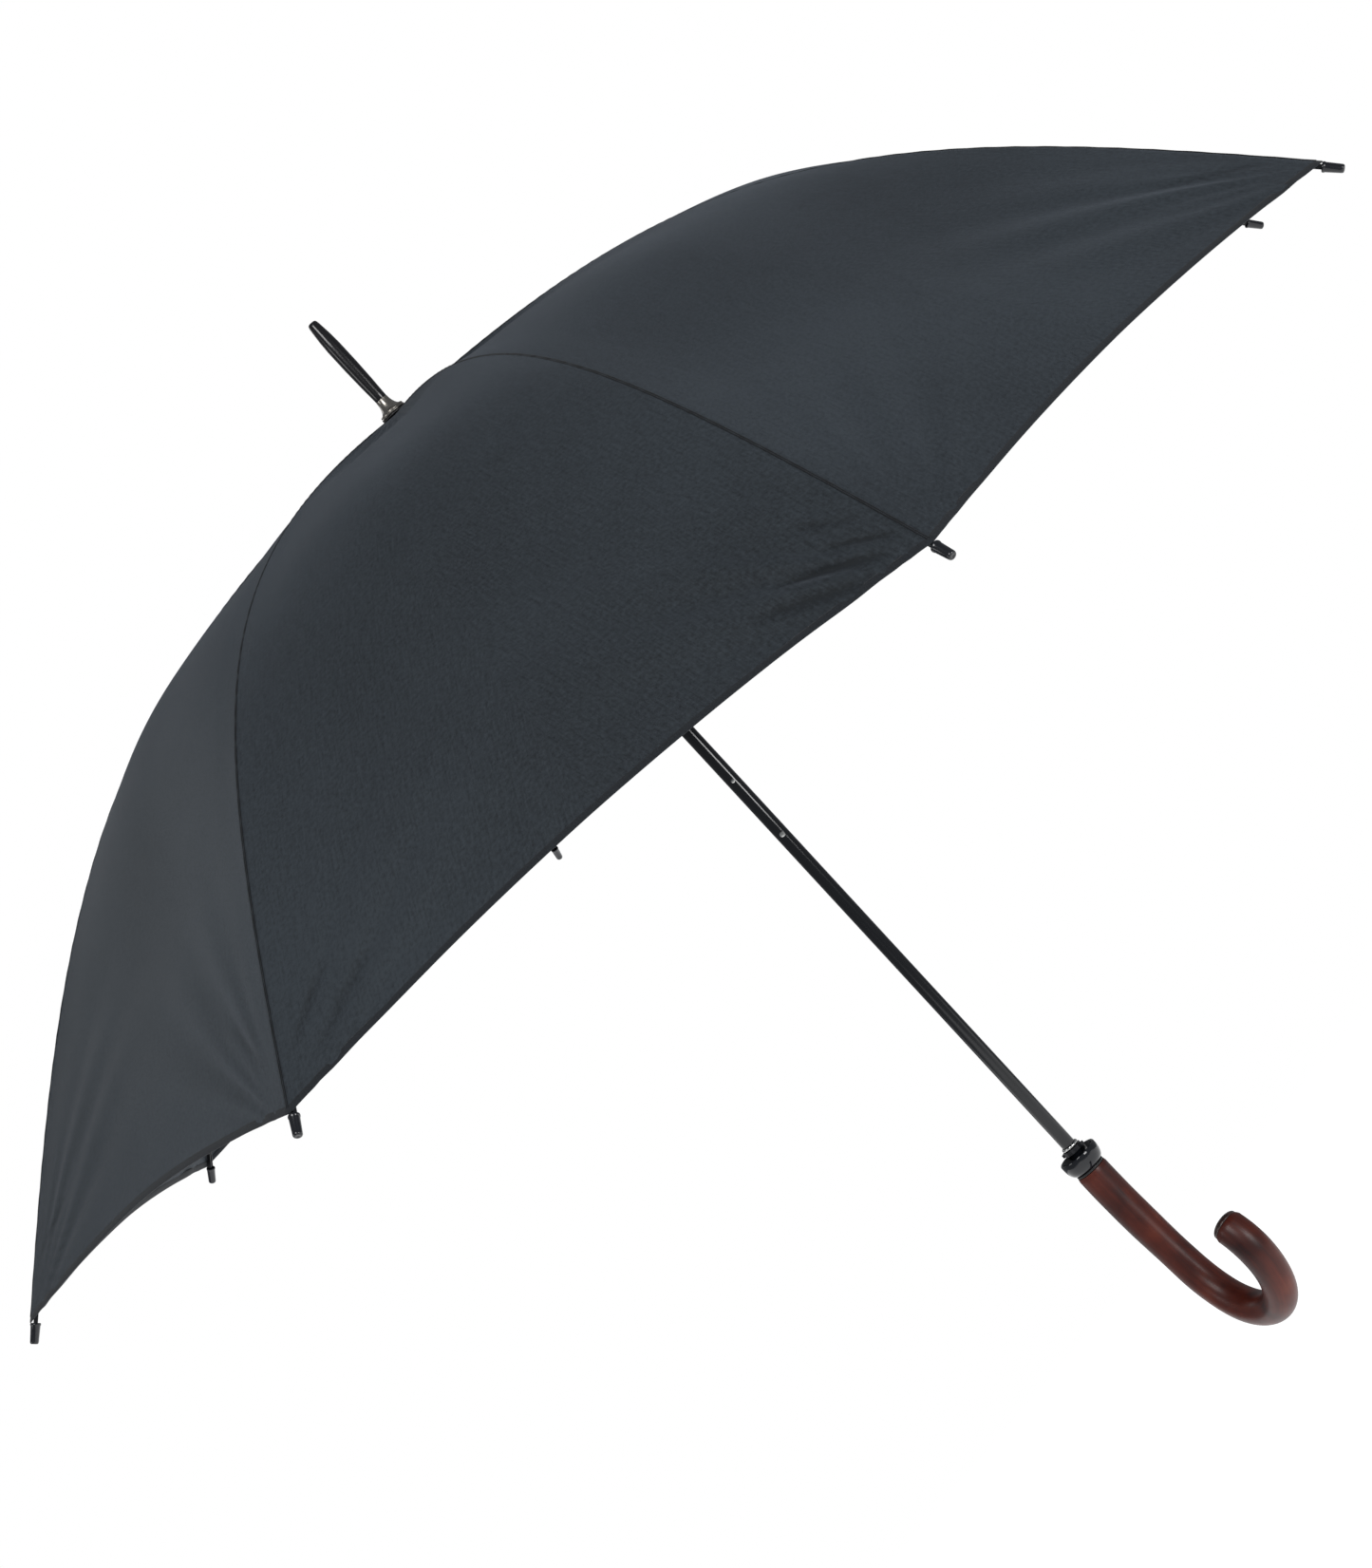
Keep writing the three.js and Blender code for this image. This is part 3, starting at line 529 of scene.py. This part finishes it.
def cloth_finish(k):
    """Fine plain weave, charcoal with a blue cast, with a soft bloom where it is seen edge on, and painted
    shade darkening its colour in the creases.
    """
    f = Finish(f"canopy_cloth_{k}", Sheen_Weight=0.12, Sheen_Roughness=0.5, Specular_IOR_Level=0.25)
    f.face.inputs["Sheen Tint"].default_value = (0.75, 0.85, 1.0, 1)
    where = f.place("UV")
    broad = f.noise(f.place("Object"), 5, 3)
    fine = f.noise(where, 1500, 2, 0.7)
    slub = f.noise(f.place("UV", (1, 0.06, 1)), 900, 2)
    yarn = f.noise(where, 420, 2, 0.7)
    threads = f.math("MULTIPLY", f.math("ADD", fine, slub), 0.2)
    shade = f.math("ADD", f.math("MULTIPLY", broad, 0.3), threads)
    shade = f.math("ADD", shade, f.math("MULTIPLY", yarn, 0.4))
    crease = crease_shade(f, tip_creases[k])
    # Painted shade: the crease valleys darken the cloth's base colour, standing in for the shadow inside
    # each crease.
    shade = f.math("SUBTRACT", shade, f.math("MULTIPLY", crease, 0.2))
    f.join(f.ramp(shade, [(0.39, (0.0050, 0.0072, 0.0094)), (0.64, (0.027, 0.0345, 0.042))]),
           f.face.inputs["Base Color"])
    f.join(f.span(fine, 0.55, 0.8), f.face.inputs["Roughness"])
    warp = f.node("TexWave", wave_type="BANDS", bands_direction="X", Scale=900, Distortion=1.0, Detail=1.0)
    weft = f.node("TexWave", wave_type="BANDS", bands_direction="Y", Scale=900, Distortion=1.0, Detail=1.0)
    f.join(where, warp.inputs["Vector"])
    f.join(where, weft.inputs["Vector"])
    crossing = f.math("MULTIPLY", warp.outputs["Fac"], weft.outputs["Fac"])
    weave = f.math("ADD", crossing, f.math("ADD", fine, yarn))
    pulled = f.bump(f.math("MULTIPLY", crease, -1.0), 1.0, 0.0018)
    f.bump(weave, 0.35, 0.0002, pulled)
    return f.material


def grid_normals(points):
    """Unit normals of a grid of points, by central differences."""
    across = np.gradient(points, axis=1)
    down = np.gradient(points, axis=0)
    n = np.cross(down, across)
    return n / np.linalg.norm(n, axis=2, keepdims=True)


columns = 48
rows = 132
v_split = (split_t - start_t) / (hem_t - start_t)
row_split = round(rows * v_split)
bands = [0, round(row_split * 0.3), round(row_split * 0.62), row_split]
bands += [row_split + round((rows - row_split) * x) for x in (0.25, 0.5, 0.75, 1)]
row_v = np.concatenate([
    np.linspace(0, v_split, row_split + 1),
    np.linspace(v_split, 1, rows - row_split + 1)[1:],
])
for k in range(1, rib_count + 1):
    turn = first_rib + (k - 1) * rib_step
    cloth = cloth_finish(k)
    pad = np.linspace(-1 - 1 / columns, 1 + 1 / columns, 2 * columns + 3)
    spots = [(k + 1, u - 2) if u > 1 else (k - 1, u + 2) if u < -1 else (k, u) for u in pad]
    grid = np.array([[cloth_point_by_rib(rib, u, v) for rib, u in spots] for v in row_v])
    normals = grid_normals(grid)
    grid, normals = grid[:, 1:-1], normals[:, 1:-1]
    normals[:, columns] = (normals[:, columns - 1] + normals[:, columns + 1]) / 2
    if normals[0, 0, 2] < 0:
        normals = -normals
    under = grid - normals * cloth_thick
    wide = 2 * columns + 1
    for b, (first, last) in enumerate(zip(bands, bands[1:])):
        inner = last <= row_split
        body = f"rib_{k}" if inner else f"rib_end_{k}"
        high = last - first + 1
        top = grid[first:last + 1].reshape(-1, 3)
        low = under[first:last + 1].reshape(-1, 3)
        count = high * wide
        faces = []
        for i in range(high - 1):
            for j in range(wide - 1):
                a, c = i * wide + j, (i + 1) * wide + j
                faces.append((a, c, c + 1, a + 1))
                faces.append((count + a, count + a + 1, count + c + 1, count + c))
        rim = [j for j in range(wide)] + [(i + 1) * wide - 1 for i in range(1, high)]
        rim += [count - 1 - j for j in range(1, wide)] + [i * wide for i in range(high - 2, 0, -1)]
        for a, c in zip(rim, rim[1:] + rim[:1]):
            faces.append((a, a + count, c + count, c))
        mesh = bpy.data.meshes.new(f"cloth_{k}_{b + 1}")
        mesh.from_pydata([tuple(p) for p in np.vstack([top, low])], [], faces)
        mesh.polygons.foreach_set("use_smooth", [True] * len(mesh.polygons))
        on_rim = set(rim) | {j + count for j in rim}
        for edge in mesh.edges:
            a, c = edge.vertices
            if a in on_rim and c in on_rim and (a < count) == (c < count):
                edge.use_edge_sharp = True
        n_top = normals[first:last + 1].reshape(-1, 3)
        corner_normals = []
        for polygon in mesh.polygons:
            sides = [v < count for v in polygon.vertices]
            for v in polygon.vertices:
                if all(sides):
                    corner_normals.append(n_top[v])
                elif not any(sides):
                    corner_normals.append(-n_top[v - count])
                else:
                    corner_normals.append(np.array(polygon.normal))
        mesh.normals_split_custom_set([tuple(n) for n in corner_normals])
        uv = mesh.uv_layers.new(name="cloth")
        widths = [fabric_line(start_t + (hem_t - start_t) * v).x * math.sin(half_gore)
                  for v in row_v[first:last + 1]]
        side = np.array([(u * width, v * rib_length) for v, width in zip(row_v[first:last + 1], widths)
                         for u in np.linspace(-1, 1, wide)])
        side = np.vstack([side, side])
        uv.data.foreach_set("uv", np.array([side[loop.vertex_index] for loop in mesh.loops]).ravel())
        piece = bpy.data.objects.new(mesh.name, mesh)
        bpy.context.collection.objects.link(piece)
        mesh.materials.append(cloth)
        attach(piece, body)
        if b == 0:
            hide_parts(f"canopy_panel_{k}")
        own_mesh(piece)
        across = 2 * fabric_line(start_t + (hem_t - start_t) * row_v[last]).x * math.tan(half_gore)


# ---- Seams and hems ----
# Along every rib the two gores are joined by a narrow felled seam with a valley down its middle,
# and the free edge is rolled under and stitched, a little darker than the cloth because it is doubled.
def strip(name, line, ups, sides, profile):
    """A thin closed strip along a line, with a profile of (aside, up) in metres."""
    points, faces = [], []
    n = len(profile)
    for p, up, side in zip(line, ups, sides):
        points += [Vector(p) + Vector(side) * a + Vector(up) * h for a, h in profile]
    for i in range(len(line) - 1):
        for j in range(n):
            a, b = i * n + j, i * n + (j + 1) % n
            faces.append((a, b, b + n, a + n))
    faces.append(tuple(range(n)))
    faces.append(tuple((len(line) - 1) * n + j for j in range(n)))
    return solid(name, points, faces)


def seam_finish(name, low, high):
    """Doubled cloth, mottled, with a fine bump."""
    f = Finish(name, Roughness=0.8, Sheen_Weight=0.1, Sheen_Roughness=0.5, Specular_IOR_Level=0.2)
    where = f.place("Object")
    f.join(f.ramp(f.noise(where, 1300, 3, 0.7), [(0.3, low), (0.7, high)]), f.face.inputs["Base Color"])
    f.bump(f.noise(where, 900, 3), 0.3, 0.0003)
    return f.material


seam_cloth = seam_finish("seam_cloth", (0.003, 0.004, 0.005), (0.009, 0.011, 0.014))
hem_cloth = seam_finish("hem_cloth", (0.006, 0.0075, 0.010), (0.018, 0.022, 0.027))
seam_profile = [(-0.0009, -0.0003), (-0.0008, 0.0001), (-0.0005, 0.0002), (-0.0002, 0.0001), (0, -0.0001),
                (0.0002, 0.0001), (0.0005, 0.0002), (0.0008, 0.0001), (0.0009, -0.0003)]
for k in range(1, rib_count + 1):
    turn = first_rib + (k - 1) * rib_step
    radial = Vector((math.cos(turn), math.sin(turn), 0))
    side = Vector((-math.sin(turn), math.cos(turn), 0))
    halves = (
        ("inner", 0.02, split_t, f"rib_{k}"),
        ("outer", split_t, hem_t - 0.004, f"rib_end_{k}"),
    )
    for part, t0, t1, body in halves:
        steps = [t0 + (t1 - t0) * i / 60 for i in range(61)]
        line, ups = [], []
        for t in steps:
            v = (t - start_t) / (hem_t - start_t)
            line.append(cloth_point_by_rib(k, 0, v))
            n = fabric_normal(t, rib_lift[k - 1])
            ups.append(radial * n.x + Vector((0, 0, n.y)))
        seam = strip(f"seam_{part}_{k}", line, ups, [side] * len(line), seam_profile)
        dress(seam, seam_cloth, body, crease=70)
    us = np.linspace(-1, 1, 97)
    line = [cloth_point_by_rib(k, u, 1.0) for u in us]
    inside = [cloth_point_by_rib(k, u, 0.985) for u in us]
    sides, ups = [], []
    for i, p in enumerate(line):
        along = (line[min(i + 1, 96)] - line[max(i - 1, 0)]).normalized()
        back = (inside[i] - p)
        back = (back - along * back.dot(along)).normalized()
        up = along.cross(back)
        sides.append(back)
        ups.append(up if up.z > 0 else -up)
    roll = [(-0.0005, -0.0002), (-0.0003, 0.0001), (0.0003, 0.0002), (0.0036, 0.00012), (0.0040, -0.0001),
            (0.0040, -0.0005), (0.0036, -0.0007), (0.0003, -0.0008), (-0.0003, -0.0006)]
    hem = strip(f"hem_{k}", line, ups, sides, roll)
    dress(hem, hem_cloth, f"rib_end_{k}", crease=70)
    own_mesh(hem)


# ---- Ferrule, its cup and the washer ----
# A black gloss rod that tapers to a blunt foot, pushed through a flared cup of dark nickel that
# clamps a thin washer on the cloth.
washer_low, washer_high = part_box("rosette_washer")
washer = turned("rosette", eased([
    (0.0052, washer_low.z), (0.0096, washer_low.z), (0.0096, washer_high.z), (0.0052, washer_high.z),
], 0.0004))
dress(washer, moulded("washer_felt", (0.008, 0.008, 0.009)), "shaft_and_handle",
      ["rosette_washer"])

cup_low, cup_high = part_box("ferrule_cup")
z = cup_low.z
cup_outline = [(0.0052, z), (0.0088, z), (0.0092, z + 0.0003), (0.0093, z + 0.0008), (0.0091, z + 0.0013),
               (0.0087, z + 0.0015), (0.0087, z + 0.0019), (0.0089, z + 0.0021), (0.0088, z + 0.0025)]
cup_outline += [
    (0.0086 - 0.0043 * math.sin(e), z + 0.0120 - 0.0092 * math.cos(e))
    for e in (i * math.pi / 2 / 18 for i in range(19))
]
cup_outline += [(0.0042, z + 0.0120), (0.0034, z + 0.0120), (0.0034, z + 0.0042), (0.0052, z + 0.0042)]
cup = turned("cup", cup_outline, 96)
gunmetal = bare_metal("dark_nickel", (0.36, 0.34, 0.31), 0.26, (60, 60, 1200))
dress(cup, gunmetal, "shaft_and_handle", ["ferrule_cup"], 28)

tip_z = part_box("ferrule")[1].z
base_z = cup_high.z + 0.0002
rod = [(0.0, base_z - 0.012), (0.0031, base_z - 0.012), (0.0031, base_z), (0.0041, base_z)]
rod += [(0.0042, base_z + 0.0003), (0.0043, base_z + 0.004), (0.0047, base_z + 0.014)]
rod += [(0.0050, base_z + 0.028), (0.0050, tip_z - 0.021), (0.0049, tip_z - 0.0190)]
rod += [(0.0046, tip_z - 0.0125), (0.0041, tip_z - 0.0070), (0.0037, tip_z - 0.0030)]
rod += [(0.0034, tip_z - 0.0013), (0.0030, tip_z - 0.0004), (0.0024, tip_z), (0.0, tip_z)]
ferrule = turned("ferrule_rod", rod, 80)
dress(ferrule, lacquer("ferrule_gloss", (0.006, 0.006, 0.008), 0.22, 0.0, (1, 1, 0.3)),
      "shaft_and_handle", ["ferrule"], 40)


# ---- Foot of the shaft and the collar ----
# A bright ring and a lock plate at the shaft's foot, standing in the open mouth of a black gloss
# cup that takes the rib tips when the umbrella is shut. A thin band joins the cup to the wood.
low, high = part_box("foot_ring")
ring = turned("bright_foot_ring", [
    (0.0050, low.z), (0.0057, low.z), (0.0060, low.z + 0.0003), (0.0062, low.z + 0.0010),
    (0.0060, high.z - 0.0003), (0.0057, high.z), (0.0050, high.z),
])
dress(ring, bright, "shaft_and_handle", ["foot_ring"], 50)
frame["nodes"]["lock_plate"].data.materials.clear()
frame["nodes"]["lock_plate"].data.materials.append(steel)

low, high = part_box("handle_collar")
collar_r = 0.0140
bottom_r = 0.0103
outline = [(0.0052, low.z), (bottom_r - 0.0006, low.z), (bottom_r, low.z + 0.0002)]
bowl_rise = high.z - low.z - 0.0032
for i in range(1, 21):
    e = i * math.pi / 2 / 20
    bowl_r = bottom_r + (collar_r - bottom_r) * math.sin(e)
    outline.append((bowl_r, low.z + 0.0002 + bowl_rise * (1 - math.cos(e))))
outline += [(collar_r, high.z - 0.0008), (collar_r - 0.0003, high.z - 0.0002), (collar_r - 0.0008, high.z)]
outline += [(collar_r - 0.0012, high.z - 0.0002), (collar_r - 0.0016, high.z - 0.0008)]
outline += [(collar_r - 0.0021, low.z + 0.0052), (collar_r - 0.0033, low.z + 0.0034)]
outline += [(collar_r - 0.0055, low.z + 0.0023), (0.0052, low.z + 0.0022)]
collar = turned("collar_cup", outline, 128)
dress(collar, lacquer("collar_gloss", (0.008, 0.009, 0.012), 0.10, 0.0), "shaft_and_handle",
      ["handle_collar"], 30)

low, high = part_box("neck_band")
band_r = 0.0107
band = turned("wood_band", eased([
    (0.0052, low.z), (band_r, low.z), (band_r, high.z), (0.0052, high.z),
], 0.0004))
dress(band, moulded("band_black", (0.006, 0.006, 0.007)), "shaft_and_handle", ["neck_band"])


# ---- Crook ----
# One rod of hardwood steamed and bent, stained dark red brown, rubbed darker in places and
# lacquered to a satin gloss. Its end is cut square, eased and closed by a domed button.
wood_r = 0.0112
wood_top = low.z - 0.0003
# Lengths of the bend in turn, each with the radius that the wood is bent to.
crook_run = [(0.030, 0.303), (0.030, 0.446), (0.030, 0.717), (0.028, 0.067), (0.026, 0.0415)]
crook_run += [(0.030, 0.0427), (0.070, 0.0411), (0.0043, 1e9)]


def crook_line(step=0.002):
    """Middle of the wood with its heading, from the top down and round."""
    x, z, heading, run = 0.0, wood_top, 0.0, 0.0
    line = [(x, z, heading, run)]
    for length, radius in crook_run:
        n = max(2, round(length / step))
        for _ in range(n):
            bend = length / radius / n
            x += length / n * math.sin(heading + bend / 2)
            z -= length / n * math.cos(heading + bend / 2)
            heading += bend
            run += length / n
            line.append((x, z, heading, run))
    return line


def wood_finish():
    """Stained wood: long grain, darker rubbed patches, small pits and a satin lacquer."""
    f = Finish("stained_wood", Coat_Weight=0.16, Coat_Roughness=0.28, Specular_IOR_Level=0.3)
    around = f.place("UV", (1, 1, 1))
    grain = f.noise(f.place("UV", (1, 0.07, 1)), 420, 5, 0.6)
    broad = f.noise(around, 28, 3, 0.5)
    fine = f.noise(f.place("UV", (1, 0.12, 1)), 1500, 3)
    stain = f.math("ADD", f.math("MULTIPLY", broad, 0.75), f.math("MULTIPLY", grain, 0.28))
    f.join(f.ramp(stain, [(0.30, (0.010, 0.003, 0.004)), (0.44, (0.042, 0.007, 0.0045)),
                          (0.58, (0.088, 0.014, 0.007)), (0.80, (0.165, 0.034, 0.014))]),
           f.face.inputs["Base Color"])
    f.join(f.span(f.noise(around, 160, 4), 0.34, 0.5), f.face.inputs["Roughness"])
    pores = f.node("TexVoronoi", Scale=260.0)
    f.join(f.place("UV", (1, 0.35, 1)), pores.inputs["Vector"])
    pit = f.math("LESS_THAN", pores.outputs["Distance"], 0.10)
    rare = f.math("GREATER_THAN", f.noise(around, 60, 2), 0.58)
    holes = f.math("MULTIPLY", pit, rare)
    ripple = f.math("ADD", f.math("MULTIPLY", fine, 0.25), f.math("MULTIPLY", broad, 0.8))
    height = f.math("SUBTRACT", ripple, holes)
    f.bump(height, 0.12, 0.0004)
    return f.material


line = crook_line()
around = 72
points, faces, uvs = [], [], []
total = line[-1][3]
for x, z, heading, run in line:
    out = Vector((math.cos(heading), 0, math.sin(heading)))
    knot = 0.00018 * math.sin(run * 61) + 0.00006 * math.sin(run * 140 + 1)
    ease = 0.0009 * max(0, 1 - (total - run) / 0.0014) ** 2 + 0.0004 * max(0, 1 - run / 0.001) ** 2
    r = wood_r + knot - ease
    for i in range(around):
        a = 2 * math.pi * i / around
        wave = 0.00004 * math.sin(3 * a + run * 30)
        across = Vector((0, (r + wave) * math.sin(a), 0))
        points.append(Vector((x, 0, z)) + out * ((r + wave) * math.cos(a)) + across)
        uvs.append((a * wood_r, run))
n = len(line)
for i in range(n - 1):
    for j in range(around):
        a, b = i * around + j, i * around + (j + 1) % around
        faces.append((a, b, b + around, a + around))
inset = len(points)
x, z, heading, run = line[-1]
out = Vector((math.cos(heading), 0, math.sin(heading)))
along = Vector((math.sin(heading), 0, -math.cos(heading)))
end_place = Vector((x, 0, z))
ring_r = wood_r - 0.0017
for i in range(around):
    a = 2 * math.pi * i / around
    points.append(end_place + out * (ring_r * math.cos(a)) + Vector((0, ring_r * math.sin(a), 0)))
    uvs.append((a * ring_r, run + 0.001))
for j in range(around):
    a, b = (n - 1) * around + j, (n - 1) * around + (j + 1) % around
    c, d = inset + (j + 1) % around, inset + j
    faces.append((a, b, c, d))
faces.append(tuple(inset + j for j in range(around)))
faces.append(tuple(reversed(range(around))))
crook_mesh = bpy.data.meshes.new("crook")
crook_mesh.from_pydata([tuple(p) for p in points], [], faces)
layer = crook_mesh.uv_layers.new(name="grain")
for polygon in crook_mesh.polygons:
    spots = [uvs[v] for v in polygon.vertices]
    wrap = max(s[0] for s in spots) - min(s[0] for s in spots) > math.pi * wood_r
    for loop, spot in zip(polygon.loop_indices, spots):
        turn_on = 2 * math.pi * wood_r if wrap and spot[0] < math.pi * wood_r else 0
        layer.data[loop].uv = (spot[0] + turn_on, spot[1])
crook = bpy.data.objects.new("crook", crook_mesh)
bpy.context.collection.objects.link(crook)
dress(crook, wood_finish(), "shaft_and_handle", ["handle_crook"], 40)

button_r = wood_r - 0.0010
button_outline = [(0, 0.0003), (button_r - 0.0002, 0.0003), (button_r, 0.0005)]
for i in range(15):
    e = i * math.pi / 2 / 14
    button_outline.append((button_r * math.cos(e), 0.0009 + 0.0043 * math.sin(e)))
button = turned("crook_button", button_outline, 72)
button.matrix_world = Matrix.Translation(end_place) @ along.to_track_quat("Z", "Y").to_matrix().to_4x4()
dark = Finish("button_stain", Roughness=0.4, Coat_Weight=0.3, Coat_Roughness=0.25)
dark_where = dark.place("Object")
dark_shades = [(0.3, (0.012, 0.006, 0.005)), (0.7, (0.05, 0.02, 0.015))]
dark.join(dark.ramp(dark.noise(dark_where, 260, 5), dark_shades), dark.face.inputs["Base Color"])
dark.bump(dark.noise(dark_where, 700, 3), 0.3, 0.0004)
dress(button, dark.material, "shaft_and_handle", ["handle_end_cap"], 45)
